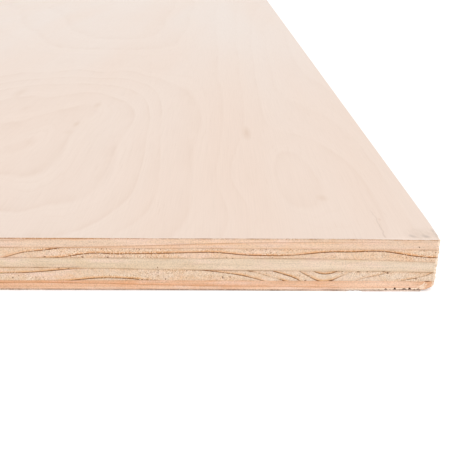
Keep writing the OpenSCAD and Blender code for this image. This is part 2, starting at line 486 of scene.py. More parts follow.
# How finely the sides are divided, and as far as where along the front end and right edge
FINE_STEP, COARSE_STEP, STEP_GROWTH = 0.2 * MM, 4 * MM, 1.12
PHOTO_REACH, CORNER_REACH = 152 * MM, 14 * MM
ROWS_PER_COARSE_ROW = 3
# How far before its end what the photograph shows starts to fade, and how far past it that ends
PHOTO_FADE_START, PHOTO_FADE = 12 * MM, 40 * MM
# Insets of the rings that lead from a ply's sides to the grid of its top or bottom, and
# how far from the sheet's corners they draw together
PLAIN_INSETS = [3 * MM]
FACE_INSETS = [0.62 * MM, 1.5 * MM]
GAP_FLOOR_INSETS = [0.12 * MM, 0.7 * MM]
GAP_ROOF_INSETS = [0.7 * MM, 1.6 * MM, 3 * MM, 5 * MM, 8 * MM, 11 * MM]
BACK_INSETS = [0.5 * MM]
INSET_BLEND = 60 * MM
# The grids: columns and rows of a plain one, and the steps of the one on the face
PLAIN_GRID, PLAIN_GRID_INSET = (20, 40), 14 * MM
FACE_GRID_INSET, FACE_GRID_REACH = 5 * MM, (240 * MM, 260 * MM)
FACE_STEP, FACE_STEP_LIMIT, FACE_STEP_GROWTH = 2.5 * MM, 70 * MM, 1.15
SHARP_ANGLE = math.radians(50)

# Values that the meshes carry for the materials
VALUES = [
    "ring", "ring_width", "ring_shown", "void", "glue", "stain", "torn", "tone", "end_grain", "figure",
    "figure_seen", "figure_shown",
]

# Sockets for colours on a Mix node, which share their names with those for values
MIX_UNDER, MIX_OVER, MIX_RESULT = 6, 7, 2
# Primes that mix the hash of a lattice's cells
HASH_PRIMES = np.array([374761393, 668265263, 2246822519, 3266489917], np.uint32)
# What the octaves of a grain are divided by
OCTAVES_SPAN = 1.75


def cells_hash(cells, seed):
    """A number from 0 to 1 for each cell of a lattice."""
    third, fourth = HASH_PRIMES[2:]
    found = (cells.astype(np.uint32) * HASH_PRIMES[:3]).sum(1, dtype=np.uint32)
    found = found + np.uint32(seed * int(fourth) % 2**32)
    found = (found ^ (found >> np.uint32(15))) * third
    found = (found ^ (found >> np.uint32(13))) * fourth
    return (found ^ (found >> np.uint32(16))).astype(float) / 2**32


def smooth(t):
    return t * t * (3 - 2 * t)


def noise(points, cell, seed):
    """Smooth noise from -1 to 1 at points in metres, with a cell size for each axis."""
    place = points / cell
    low = np.floor(place)
    part = smooth(place - low)
    low = low.astype(np.int64)
    total = np.zeros(len(place))
    for corner in np.ndindex(2, 2, 2):
        step = np.array(corner)
        weight = np.where(step == 1, part, 1 - part).prod(1)
        total += weight * cells_hash(low + step, seed)
    return 2 * total - 1


def ease(x, start, end):
    """0 at start and 1 at end, with a smooth change between them."""
    return smooth(np.clip((x - start) / (end - start), 0, 1))


def curve_through(x, knots, heights):
    """A smooth curve through heights at rising knots, level outside them."""
    slope = np.gradient(heights, knots)
    x = np.clip(x, knots[0], knots[-1])
    i = np.clip(np.searchsorted(knots, x, side="right") - 1, 0, len(knots) - 2)
    width = knots[i + 1] - knots[i]
    t = (x - knots[i]) / width
    bend = width * t * (1 - t) * ((1 - t) * slope[i] - t * slope[i + 1])
    return mixed(heights[i], heights[i + 1], smooth(t)) + bend


def field_through(numbered_lines, unit, softness, slack):
    """A smooth field that has about the number of each line along it, for places of a plane."""
    points = np.concatenate([line for _, line in numbered_lines]) / unit
    values = np.concatenate([np.broadcast_to(number, len(line)) for number, line in numbered_lines])
    n = len(points)

    def hills(places):
        return -np.sqrt(((places[:, None] - points) ** 2).sum(2) + softness**2)

    system = np.ones((n + 1, n + 1))
    system[:n, :n] = slack * np.eye(n) + hills(points)
    system[n, n] = 0
    weights = np.linalg.solve(system, np.append(values, 0))
    return lambda places: hills(places / unit) @ weights[:n] + weights[n]


def mixed(a, b, share):
    return a + (b - a) * share


def level(points, z=0.0):
    """Points of a plane, at the height or heights z."""
    return np.column_stack([points, np.broadcast_to(z, len(points))])


def on_axis(x):
    """Points on the first axis."""
    return np.column_stack([x, np.zeros((len(x), 2))])


def camera_matrix():
    turn = Matrix.Rotation(CAMERA_YAW, 4, "Z")
    turn = turn @ Matrix.Rotation(math.pi / 2 - CAMERA_PITCH, 4, "X")
    turn = turn @ Matrix.Rotation(CAMERA_ROLL, 4, "Z")
    return Matrix.Translation(CORNER + CAMERA_OFFSET) @ turn


def on_plane(pixels, axis, value):
    """Where sight lines through the photograph's pixels meet a plane square to an axis."""
    matrix = np.array(camera_matrix())
    focal = PHOTO_SIDE * CAMERA_LENS / CAMERA_SENSOR
    pixels = np.asarray(pixels, float) + 0.5 - PHOTO_SIDE / 2
    sight = np.column_stack([pixels[:, 0], -pixels[:, 1], np.full(len(pixels), -focal)])
    sight = sight @ matrix[:3, :3].T
    eye = matrix[:3, 3]
    return eye + sight * ((value - eye[axis]) / sight[:, axis])[:, None]


def on_end(pixels):
    """Pixels laid on the front end, as x and z."""
    return on_plane(pixels, 1, CAD_LOW.y)[:, [0, 2]]


def on_face(pixels):
    """Pixels laid on the face, as x and y."""
    return on_plane(pixels, 2, CAD_HIGH.z)[:, :2]


def seen_along(outline, table, row, curve=np.interp):
    """Values read at pixels of one row of the front end, along the outline."""
    pixels, values = np.transpose(table)
    return curve(outline.run, on_end([(x, row) for x in pixels])[:, 0] - CORNER.x, values)


def pixel_size():
    """Width and height on the front end of one pixel of the photograph."""
    middle = PHOTO_SIDE / 2
    at = on_end([(middle, END_ROW), (middle + 1, END_ROW), (middle, END_ROW + 1)])
    return abs(at[1, 0] - at[0, 0]), abs(at[2, 1] - at[0, 1])


def growing_steps(length, first, limit, growth, reach):
    """Distances from 0 to length or a little more, in steps that grow past reach."""
    found, step = [0.0], first
    while found[-1] < length:
        if found[-1] > reach:
            step = min(step * growth, limit)
        found.append(found[-1] + step)
    return np.array(found)


def side_steps(length, reach):
    """Distances along a side, in fine steps as far as reach, that end at length."""
    found = growing_steps(length, FINE_STEP if reach else COARSE_STEP, COARSE_STEP, STEP_GROWTH, reach)
    past = found > reach
    found[past] = reach + (found[past] - reach) * (length - reach) / (found[-1] - reach)
    return found


class Outline:
    """The rectangle of the sheet as columns, anticlockwise from its front-left corner."""

    def __init__(self):
        low, high = CAD_LOW, CAD_HIGH
        width, length = high.x - low.x, high.y - low.y
        front = side_steps(width, PHOTO_REACH)[::-1]
        right = side_steps(length, CORNER_REACH)
        rear = side_steps(width, 0)
        left = side_steps(length, 0)
        sides = [
            (np.column_stack([high.x - front, np.full(len(front), low.y)]), (0, 1), 1 - front / width),
            (np.column_stack([np.full(len(right), high.x), low.y + right]), (-1, 0), right / length),
            (np.column_stack([high.x - rear, np.full(len(rear), high.y)]), (0, -1), rear / width),
            (np.column_stack([np.full(len(left), low.x), high.y - left]), (1, 0), left / length),
        ]
        self.points = np.concatenate([p[:-1] for p, _, _ in sides])
        self.inward = np.concatenate([np.tile(n, (len(p) - 1, 1)) for p, n, _ in sides]).astype(float)
        self.share = np.concatenate([i + s[:-1] for i, (_, _, s) in enumerate(sides)])
        self.side = np.floor(self.share).astype(int)
        # The column on a corner moves in from both of its sides.
        for first in np.searchsorted(self.side, range(SIDE_COUNT)):
            self.inward[first] += self.inward[first - 1]
        self.across = high.x - self.points[:, 0]
        self.along = self.points[:, 1] - low.y
        front_run = np.where(self.side == FRONT, -self.across, self.along)
        self.run = np.where(self.side <= RIGHT, front_run, length)
        self.fine = self.near_corner(PHOTO_REACH, CORNER_REACH, np.less_equal)
        before = 1 - ease(-self.run, PHOTO_REACH - PHOTO_FADE_START, PHOTO_REACH + PHOTO_FADE)
        self.photo = before * (1 - ease(self.run, 0, PHOTO_FADE))

    def near_corner(self, across, along, test=np.less):
        """The columns that lie within these reaches of the broken corner."""
        on_end = (self.side == FRONT) & test(self.across, across)
        return on_end | ((self.side == RIGHT) & test(self.along, along))

    def inset(self, depth):
        """The columns moved in by depth, drawn together near the rectangle's corners."""
        found = self.points.copy()
        for axis in (0, 1):
            low, high = CAD_LOW[axis], CAD_HIGH[axis]
            from_low = np.clip((found[:, axis] - low) / INSET_BLEND, 0, 1)
            from_high = np.clip((high - found[:, axis]) / INSET_BLEND, 0, 1)
            found[:, axis] += depth * (1 - from_low) - depth * (1 - from_high)
        return found


def tear_of(outline):
    """The outline's columns moved to the torn corner and the nick of the back veneer."""
    points = outline.points.copy()
    torn = outline.near_corner(TEAR_W, TEAR_L)
    along = outline.run[torn]
    along = (along - along[0]) / (along[-1] - along[0])
    line = np.array([(CORNER.x - x * TEAR_W, CORNER.y + y * TEAR_L) for x, y in TEAR_SHARES])
    reach = np.append(0, np.cumsum(np.linalg.norm(np.diff(line, axis=0), axis=1)))
    for axis in (0, 1):
        points[torn, axis] = np.interp(along * reach[-1], reach, line[:, axis])
    nick_x = [CORNER.x - NICK_FROM_CORNER + x * NICK_W / 2 for x, _ in NICK_SHARES]
    nick_y = [y * NICK_DEPTH for _, y in NICK_SHARES]
    front = outline.side == FRONT
    points[front, 1] += np.interp(points[front, 0], nick_x, nick_y, 0, 0)
    return points


def inside_break(points, width, length):
    """How far points lie inside a break with these reaches: 1 at the corner, 0 at its edge."""
    return 1 - (CORNER.x - points[:, 0]) / width - (points[:, 1] - CORNER.y) / length


def corner_break(points):
    """How far the lower crossband's underside is broken up at points near the corner."""
    flat = level(points)
    inside_chip = np.clip(inside_break(points, CHIP_W, CHIP_L), 0, 1)
    inside_gap = np.clip(inside_break(points, GAP_W, GAP_L), 0, 1)
    chip = CHIP_H * inside_chip**CHIP_CURVE * (1 + CHIP_GRAIN.at(flat))
    gap = GAP_H * inside_gap * (1 + GAP_GRAIN.at(flat))
    at_end = 1 - ease(points[:, 1] - CORNER.y, *SPLINTER_REACH)
    return np.maximum(chip, mixed(gap, np.where(inside_gap > 0, splinter_gap(points[:, 0]), 0), at_end))


def splinter_gap(x):
    """Height left open over the loose veneer at the front end, where splinters hang down to it."""
    found = SPLINTER_GAP * (1 + SPLINTER_GRAIN.at(on_axis(x)))
    pixel_width, _ = pixel_size()
    for pixel, half_width, height in OPENINGS:
        off = np.abs(x - on_end([(pixel, FOOT_ROW)])[0, 0]) / (half_width * pixel_width)
        found = np.maximum(found, height * np.clip(OPENING_FLANK - off, 0, 1))
    return found * (1 + OPENING_GRAIN.at(on_axis(x)))


def glue_height(name, nominal, outline):
    """Height of a glue line along the outline: as photographed, and wavy elsewhere."""
    waves = GLUE_WAVES.at(level(outline.points), NODES.index(name))
    if name not in GLUE_LINES:
        return nominal + BACK_WAVES * waves * mixed(1, BACK_WAVES_SEEN, outline.photo)
    read = on_end(GLUE_LINES[name])
    seen = curve_through(outline.run, read[:, 0] - CORNER.x, read[:, 1] - nominal)
    return nominal + waves * mixed(1, WAVES_SEEN, outline.photo) + seen * outline.photo


def ring_field(name, points, photo):
    """Ring numbers at points of a ply's sides. A whole number is the dark end of a ring."""
    fibre, _ = PLIES[name]
    order = NODES.index(name)
    x, y, z = points.T
    across, along = (x, y) if fibre == "y" else (y, x)
    plain = z - RING_SWELL.at(on_axis(across), order) - RING_DRIFT.at(on_axis(along), order)
    plain = plain / RING_SPACING
    if name not in RING_LINES:
        return plain
    lines = [(number, on_end(line)) for number, line in RING_LINES[name]]
    residues = [(number - line[:, 1] / RING_SPACING, line) for number, line in lines]
    residue = field_through(residues, RING_UNIT, RING_SOFTNESS, RING_SLACK)
    held = np.column_stack([np.clip(x, CORNER.x - PHOTO_REACH, CORNER.x), z])
    found = mixed(plain, z / RING_SPACING + residue(held), photo)
    return -found if name in RINGS_TURNED else found


def ring_width(name, at, ring):
    """Millimetres from one ring to the next, measured square to them on the side."""
    sideways = level(np.column_stack([at.inward[:, 1], -at.inward[:, 0]]))
    probes = [at.points + RING_PROBE * way for way in (np.array((0, 0, 1)), sideways)]
    changes = [ring_field(name, probe, at.photo) - ring for probe in probes]
    return np.clip(RING_PROBE / MM / np.maximum(np.hypot(*changes), LEAST_CHANGE), *RING_WIDTHS)


def tone_of(name, outline):
    """How pale a ply is along the outline: as photographed, and varied elsewhere."""
    varied = TONE_MEAN + TONE_GRAIN.at(level(outline.points), NODES.index(name))
    return mixed(varied, seen_along(outline, TONES[name], END_ROW, curve_through), outline.photo)


def rings_shown(name, outline):
    """How clearly a ply's rings show along the outline."""
    if name not in RINGS_SHOWN:
        return np.full(len(outline.points), RINGS_SHOWN_ELSEWHERE)
    return mixed(RINGS_SHOWN_ELSEWHERE, seen_along(outline, RINGS_SHOWN[name], END_ROW), outline.photo)


def torn_fibres(points):
    """0 to 1 at points of the front end: 1 on the lines of torn pale fibres."""
    found = np.zeros(len(points))
    for strength, line in TORN_LINES:
        at = on_end(line)
        for start, end in zip(at[:-1], at[1:]):
            way = end - start
            off = points[:, [0, 2]] - start
            share = np.clip(off @ way / (way @ way), 0, 1)
            gap = np.linalg.norm(off - share[:, None] * way, axis=1)
            found = np.maximum(found, strength * np.exp(-((gap / TORN_HALF_WIDTH) ** 2)))
    return found


def latewood(ring):
    """1 on the dark end of a ring, falling to 0 in its pale wood."""
    return np.clip(1 - (ring - np.floor(ring)) / LATEWOOD_SHARE, 0, 1)


def off_spots(points, spots):
    """For each spot of the front end, the squares of its distances in its own half sizes."""
    pixel_width, pixel_height = pixel_size()
    for (x, z), spot in zip(on_end([s[:2] for s in spots]), spots):
        off_x = (points[:, 0] - x) / (spot[2] * pixel_width)
        off_z = (points[:, 2] - z) / (spot[3] * pixel_height)
        yield off_x**2 + off_z**2


def void_depth(points):
    """0 to 1 at points of the front end: 1 in the middle of a void."""
    return np.max([np.exp(-VOID_FALL * off) for off in off_spots(points, VOIDS)], axis=0)


def lost_at(points):
    """0 to 1 at points of the front end: how far rings and glue lines fade there."""
    lost = [fade[4] * np.exp(-off**2) for off, fade in zip(off_spots(points, FADES), FADES)]
    return np.max(lost, axis=0)


class Sides:
    """The points of a ply's sides before their relief, in columns from its bottom to its top."""

    def __init__(self, name, outline, base):
        low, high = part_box(name)
        bottom, top = ply_heights(name, outline)
        coarse_rows = max(1, round((high.z - low.z) / (FINE_STEP * ROWS_PER_COARSE_ROW)))
        rows = np.where(outline.fine, coarse_rows * ROWS_PER_COARSE_ROW, coarse_rows) + 1
        column = np.repeat(np.arange(len(base)), rows)
        self.column, self.first = column, np.append(0, np.cumsum(rows))
        self.share = (np.arange(len(column)) - self.first[column]) / (rows[column] - 1)
        z = bottom[column] + (top - bottom)[column] * self.share
        self.above_foot, self.below_top = z - bottom[column], top[column] - z
        self.points = level(base[column], z)
        for held in ("side", "fine", "photo", "inward", "across", "along"):
            setattr(self, held, getattr(outline, held)[column])
        self.on_ends = np.isin(self.side, (FRONT, REAR))
        self.end_grain = self.on_ends == (PLIES[name][0] == "y")


def side_relief(name, at, ring):
    """How far sawn wood lies below the sides' plane, apart from voids."""
    order = NODES.index(name)
    stretch = np.where(at.on_ends[:, None], (FIBRE_STRETCH, 1, 1), (1, FIBRE_STRETCH, 1))
    streaks = SIDE_FIBRES.at(at.points / stretch, order)
    grains = END_GRAIN.at(at.points, order) + END_GRAIN.strength * (1 - latewood(ring))
    depth = RELIEF_DEPTH + SIDE_SWELL.at(at.points, order) + np.where(at.end_grain, grains, streaks)
    return np.clip(depth, 0, None) * np.where(at.fine, 1.0, COARSE_RELIEF) + corner_wear(at, order)


def corner_wear(at, order):
    """How far the sheet's broken corner is rubbed and frayed away."""
    away = at.across + at.along
    frayed = np.clip(FRAYED_DEPTH + FRAYED_GRAIN.at(at.points, order), 0, None) * np.exp(-away / FRAYED_REACH)
    start, full = (CAD_HIGH.z - below for below in RUBBED_BAND)
    on_edge = 1 - ease(at.along, *RUBBED_ON_EDGE)
    rubbed = RUBBED_DEPTH * np.where(at.side == RIGHT, on_edge, np.exp(-away / RUBBED_ON_END))
    return np.where(at.side <= RIGHT, frayed + rubbed * ease(at.points[:, 2], start, full), 0)


def frayed_strip(at):
    """0 to 1 at points of the sides: 1 on the pale fibres along the corner's upright arris."""
    on_end = 1 - ease(at.across, *STRIP_ON_END)
    on_edge = 1 - ease(at.along, *STRIP_ON_EDGE)
    found = np.select([at.side == FRONT, at.side == RIGHT], [on_end, on_edge], 0.0)
    return found * (STRIP_SHOWN + STRIP_GRAIN.at(at.points))


def side_values(name, at, ring, outline):
    """The values of a ply's sides, apart from its voids."""
    order = NODES.index(name)
    on_front = at.side == FRONT
    kept = 1 - np.where(on_front, lost_at(at.points), 0)
    # Dark glue lines at the foot and the top, and along the back veneer's foot painted shade.
    glue = GLUE_AND_FOOT_SHADE_SHOWN[name] * np.exp(-at.above_foot / GLUE_AND_SHADE_FADE)
    if order > 0:
        glue += GLUE_AND_FOOT_SHADE_SHOWN[NODES[order - 1]] * np.exp(-at.below_top / GLUE_AND_SHADE_FADE)
    glue = glue * kept
    if order == 0:
        glue += ARRIS_SHOWN * np.exp(-at.below_top / ARRIS_FADE)
    foot_stain, top_stain = STAINS.get(name, (0, 0))
    stain = foot_stain * np.exp(-at.above_foot / STAIN_FADE)
    stain += top_stain * np.exp(-at.below_top / STAIN_FADE)
    torn = frayed_strip(at)
    tone = tone_of(name, outline)[at.column]
    if name == "lower_crossband":
        torn = np.maximum(np.where(on_front, torn_fibres(at.points), 0), torn)
        tone = tone + PALE_FOOT * (0.5 - at.share)
    return {
        "ring": ring,
        "ring_width": ring_width(name, at, ring),
        "ring_shown": kept * rings_shown(name, outline)[at.column],
        "glue": glue,
        "stain": stain,
        "torn": np.maximum(torn, 0),
        "tone": tone,
        "end_grain": at.end_grain,
    }


class Shape:
    """Vertices with named values, and faces, gathered for one mesh."""

    def __init__(self):
        self.points, self.faces, self.slots = [], [], []
        self.values = {name: [] for name in VALUES}
        self.count = 0

    def add_points(self, points, values):
        self.points.append(points)
        for name, held in self.values.items():
            held.append(np.broadcast_to(values.get(name, 0.0), len(points)))
        self.count += len(points)
        return np.arange(self.count - len(points), self.count)

    def add_faces(self, faces, slot):
        self.faces.extend(faces)
        self.slots.extend([slot] * len(faces))

    def add_quads(self, quads, up, slot):
        self.add_faces([tuple(q) if up else tuple(q[::-1]) for q in quads.tolist()], slot)

    def make(self, name, materials):
        mesh = bpy.data.meshes.new(name)
        mesh.from_pydata(np.concatenate(self.points).tolist(), [], self.faces)
        for label, held in self.values.items():
            layer = mesh.attributes.new(label, "FLOAT", "POINT")
            layer.data.foreach_set("value", np.concatenate(held).astype(np.float32))
        for material in materials:
            mesh.materials.append(material)
        mesh.polygons.foreach_set("material_index", self.slots)
        mesh.polygons.foreach_set("use_smooth", [True] * len(mesh.polygons))
        mesh.set_sharp_from_angle(angle=SHARP_ANGLE)
        mesh.update()
        return add_object(name, mesh)


def add_object(name, data):
    made = bpy.data.objects.new(name, data)
    bpy.context.scene.collection.objects.link(made)
    return made


def bridge(low, high):
    """Faces between two columns of a side, where one may have more rows than the other."""
    if len(low) == len(high):
        return [(low[k], high[k], high[k + 1], low[k + 1]) for k in range(len(low) - 1)]
    if len(low) > len(high):
        n = (len(low) - 1) // (len(high) - 1)
        return [
            (high[k], high[k + 1], *low[k * n:(k + 1) * n + 1][::-1]) for k in range(len(high) - 1)
        ]
    n = (len(high) - 1) // (len(low) - 1)
    return [(low[k + 1], low[k], *high[k * n:(k + 1) * n + 1]) for k in range(len(low) - 1)]


def zip_rings(outer, outer_share, inner, inner_share, up):
    """Triangles between two closed rings, matched by their shares of the way round."""
    outer_share = np.append(outer_share, SIDE_COUNT + outer_share[0])
    inner_share = np.append(inner_share, SIDE_COUNT + inner_share[0])
    faces, i, j = [], 0, 0
    while i < len(outer) or j < len(inner):
        a, b = outer[i % len(outer)], inner[j % len(inner)]
        if j == len(inner) or (i < len(outer) and outer_share[i + 1] <= inner_share[j + 1]):
            i += 1
            face = (a, outer[i % len(outer)], b)
        else:
            j += 1
            face = (a, inner[j % len(inner)], b)
        faces.append(face if up else face[::-1])
    return faces


def flat_ring(outline, base, inset, z):
    return level(outline.inset(inset), z)


def torn_ring(outline, base, inset, z):
    """A ring of the back veneer, which follows its torn outline."""
    return level(base + outline.inward * inset, z)


def broken_ring(outline, base, inset, z):
    """A ring of the lower crossband's underside, raised at the broken corner."""
    points = outline.inset(inset)
    return level(points, z + corner_break(points))


def no_values(points):
    """The values of a plain cap, which all stay at zero."""
    return {}


def gap_values(points):
    """The values of a cap that bounds the gap: painted shade as far as the gap reaches."""
    in_gap = inside_break(points, GAP_W, GAP_L) > 0
    in_chip = inside_break(points, CHIP_W, CHIP_L) > -CHIP_MARGIN
    return {"void": np.where(in_gap & ~in_chip, 1.0, 0.0)}


def figure_values(points):
    """Ring numbers of the face's figure where the photograph shows it."""
    lines = [(number, on_face(line)) for number, line in FIGURE_LINES]
    field = field_through(lines, FIGURE_UNIT, FIGURE_SOFTNESS, FIGURE_SLACK)
    width, length = FIGURE_AREA
    near = np.clip(points[:, :2], (CORNER.x - width, CORNER.y), (CORNER.x, CORNER.y + length))
    seen = 1 - ease(np.linalg.norm(points[:, :2] - near, axis=1), 0, FIGURE_BLEND)
    along = points[:, 1] - CORNER.y
    # The face is painted paler towards the rear as sheen, which partly fades out again far back.
    tone = FACE_TONE + FACE_PAINTED_SHEEN * ease(along, *FACE_SHEEN_REACH)
    tone = tone - FACE_TONE_LOSS * ease(along, *FACE_LOSS_REACH)
    shown = FIGURE_SHOWN + FIGURE_GAIN * ease(CORNER.x - points[:, 0], *FIGURE_GAIN_REACH)
    # The figure fades towards the rear, painted as if sheen washed it out.
    shown = shown * (1 - sum(loss * ease(along, start, end) for loss, start, end in FIGURE_SHEEN_LOSSES))
    shown = mixed(FIGURE_ELSEWHERE, shown, seen)
    return {"figure": field(near), "figure_seen": seen, "figure_shown": shown, "tone": tone}


# How the tops (True) and bottoms (False) of some plies close: the kind of ring, its insets and
# its values, and how all others do. Two of them are the birch surfaces.
CAPS = {
    ("face_veneer", True): (flat_ring, FACE_INSETS, figure_values),
    ("lower_crossband", False): (broken_ring, GAP_ROOF_INSETS, gap_values),
    ("back_veneer", True): (torn_ring, GAP_FLOOR_INSETS, gap_values),
    ("back_veneer", False): (torn_ring, BACK_INSETS, no_values),
}
PLAIN_CAP = (flat_ring, PLAIN_INSETS, no_values)
SURFACES = [("face_veneer", True), ("back_veneer", False)]


def plain_lines(low, high):
    """Grid lines of a plain cap, along x and y."""
    for axis, count in enumerate(PLAIN_GRID):
        yield np.linspace(low[axis] + PLAIN_GRID_INSET, high[axis] - PLAIN_GRID_INSET, count)


def face_lines(low, high):
    """Grid lines of the face, along x and y, finest by its broken corner."""
    for axis, reach in enumerate(FACE_GRID_REACH):
        start, end = low[axis] + FACE_GRID_INSET, high[axis] - FACE_GRID_INSET
        found = growing_steps(end - start, FACE_STEP, FACE_STEP_LIMIT, FACE_STEP_GROWTH, reach)
        found = found * (end - start) / found[-1]
        yield end - found[::-1] if axis == 0 else start + found


def add_grid(shape, xs, ys, z, up, slot, values_of):
    """A flat grid, and its border as a ring with its shares."""
    gx, gy = np.meshgrid(xs, ys)
    points = level(np.column_stack([gx.ravel(), gy.ravel()]), z)
    at = shape.add_points(points, values_of(points)).reshape(gx.shape)
    quads = np.stack([at[:-1, :-1], at[:-1, 1:], at[1:, 1:], at[1:, :-1]], -1).reshape(-1, 4)
    shape.add_quads(quads, up, slot)
    tx, ty = (xs - xs[0]) / (xs[-1] - xs[0]), (ys - ys[0]) / (ys[-1] - ys[0])
    ring = np.concatenate([at[0, :-1], at[:-1, -1], at[-1, :0:-1], at[:0:-1, 0]])
    share = np.concatenate([tx[:-1], 1 + ty[:-1], 3 - tx[:0:-1], 4 - ty[:0:-1]])
    return ring, share


def add_cap(shape, name, outline, base, ring, up, slot):
    """Closes the top or the bottom of a ply: rings that step inwards, then a grid."""
    low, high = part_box(name)
    z = high.z if up else low.z
    ring_of, insets, values_of = CAPS.get((name, up), PLAIN_CAP)
    for inset in insets:
        points = ring_of(outline, base, inset, z)
        inner = shape.add_points(points, values_of(points))
        quads = np.column_stack([ring, np.roll(ring, -1), np.roll(inner, -1), inner])
        shape.add_quads(quads, up, slot)
        ring = inner
    lines = face_lines if values_of is figure_values else plain_lines
    border, share = add_grid(shape, *lines(low, high), z, up, slot, values_of)
    shape.add_faces(zip_rings(ring.tolist(), outline.share, border.tolist(), share, up), slot)


def ply_heights(name, outline):
    """Heights of a ply's bottom and top along the outline."""
    low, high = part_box(name)
    order = NODES.index(name)
    if order > 0:
        top = glue_height(NODES[order - 1], high.z, outline)
    else:
        away = outline.across + ARRIS_EDGE_RATE * outline.along
        top = high.z - ARRIS_WORN * (1 - ease(away, *ARRIS_WORN_REACH))
    if order < len(NODES) - 1:
        bottom = glue_height(name, low.z, outline)
    else:
        worn = seen_along(outline, FOOT_WORN, FOOT_ROW) * outline.photo
        bottom = low.z + np.where(outline.side == FRONT, worn, 0)
    if name == "lower_crossband":
        bottom = bottom + corner_break(outline.points)
    return bottom, top


def make_ply(name, materials):
    """The mesh of one ply, in the place of its solid."""
    outline = Outline()
    base = tear_of(outline) if name == "back_veneer" else outline.points
    at = Sides(name, outline, base)
    ring = ring_field(name, at.points, at.photo)
    # The void mask both dents the front end and paints shade into the voids.
    void = np.where(at.side == FRONT, void_depth(at.points), 0)
    relief = side_relief(name, at, ring) + VOID_DEPTH * void
    points = at.points + level(at.inward * relief[:, None])
    shape = Shape()
    vertices = shape.add_points(points, side_values(name, at, ring, outline) | {"void": void})
    columns = [vertices[a:b].tolist() for a, b in zip(at.first[:-1], at.first[1:])]
    sawn = len(materials) - 1
    for here, after in zip(columns, columns[1:] + columns[:1]):
        shape.add_faces(bridge(here, after), sawn)
    for up in (True, False):
        rim = np.array([column[-1 if up else 0] for column in columns])
        add_cap(shape, name, outline, base, rim, up, 0 if (name, up) in SURFACES else sawn)
    return shape.make(f"{name}_wood", materials)


class Tree:
    """Shader nodes added by short calls, and the colour that their layers build up."""

    def __init__(self, owner, colour=None):
        owner.use_nodes = True
        self.tree = owner.node_tree
        self.tree.nodes.clear()
        self.colour = colour

    def add(self, kind, inputs=None, **settings):
        made = self.tree.nodes.new(kind)
        for key, value in settings.items():
            setattr(made, key, value)
        for key, value in (inputs or {}).items():
            if isinstance(value, bpy.types.NodeSocket):
                self.tree.links.new(value, made.inputs[key])
            else:
                made.inputs[key].default_value = value
        return made

    def maths(self, operation, a, b=0.0, third=0.0, clamp=False):
        inputs = {0: a, 1: b, 2: third}
        return self.add("ShaderNodeMath", inputs, operation=operation, use_clamp=clamp).outputs[0]

    def times(self, first, *others):
        for other in others:
            first = self.maths("MULTIPLY", first, other)
        return first

    def value(self, name):
        return self.add("ShaderNodeAttribute", attribute_name=name).outputs["Fac"]

    def place(self, scale, location=(0, 0, 0), rotation=(0, 0, 0), kind="POINT"):
        """Object coordinates, scaled along each axis, with the settings of a Mapping node."""
        coordinates = self.add("ShaderNodeTexCoord").outputs["Object"]
        inputs = {"Vector": coordinates, "Location": location, "Rotation": rotation, "Scale": scale}
        return self.add("ShaderNodeMapping", inputs, vector_type=kind).outputs["Vector"]

    def noise(self, scale, detail=2.0, roughness=0.5, distortion=0.0, location=(0, 0, 0)):
        """Noise with this many cells in a metre along each axis."""
        inputs = {"Vector": self.place(scale, location), "Scale": 1.0, "Detail": detail}
        inputs |= {"Roughness": roughness, "Distortion": distortion}
        return self.add("ShaderNodeTexNoise", inputs).outputs["Fac"]

    def cells(self, scale):
        """Scattered cells, this many in a metre along each axis."""
        return self.add("ShaderNodeTexVoronoi", {"Vector": self.place(scale), "Scale": 1.0}).outputs

    def ramp(self, factor, *stops):
        """A value that follows stops of place and height, straight between them."""
        made = self.add("ShaderNodeValToRGB", {"Fac": factor})
        elements = made.color_ramp.elements
        elements.remove(elements[1])
        for i, (place, height) in enumerate(stops):
            element = elements[0] if i == 0 else elements.new(place)
            element.position = place
            element.color = (height, height, height, 1)
        return made.outputs["Color"]

    def layer(self, factor, colour, blend="MIX"):
        """Lays a colour over those before it, as far as factor says."""
        inputs = {"Factor": factor, MIX_UNDER: self.colour, MIX_OVER: colour}
        made = self.add("ShaderNodeMix", inputs, data_type="RGBA", blend_type=blend)
        self.colour = made.outputs[MIX_RESULT]

    def off_spot(self, pixel, half_width, half_length):
        """The distance from a spot of the face, 1 on the ellipse with these half sizes."""
        x, y = on_face([pixel])[0]
        off = self.place((half_width, half_length, 1), (x, y, CAD_HIGH.z), kind="TEXTURE")
        return self.add("ShaderNodeVectorMath", {0: off}, operation="LENGTH").outputs["Value"]

    def seen_directly(self):
        """1 for rays of the camera and those that a glossy or clear surface sends on."""
        path = self.add("ShaderNodeLightPath").outputs
        found = self.maths("MAXIMUM", path["Is Camera Ray"], path["Is Glossy Ray"])
        return self.maths("MAXIMUM", found, path["Is Transmission Ray"])

    def finish_wood(self, fibres, roughness, bump, **constants):
        """The shader of wood: its gloss and fibres, and inputs that stay the same all over."""
        height = {"Height": fibres, "Strength": 1.0, "Distance": bump}
        inputs = {name.replace("_", " "): value for name, value in constants.items()}
        inputs["Base Color"] = self.colour
        inputs["Roughness"] = self.ramp(fibres, *roughness)
        inputs["Normal"] = self.add("ShaderNodeBump", height).outputs["Normal"]
        shader = self.add("ShaderNodeBsdfPrincipled", inputs)
        self.add("ShaderNodeOutputMaterial", {"Surface": shader.outputs["BSDF"]})


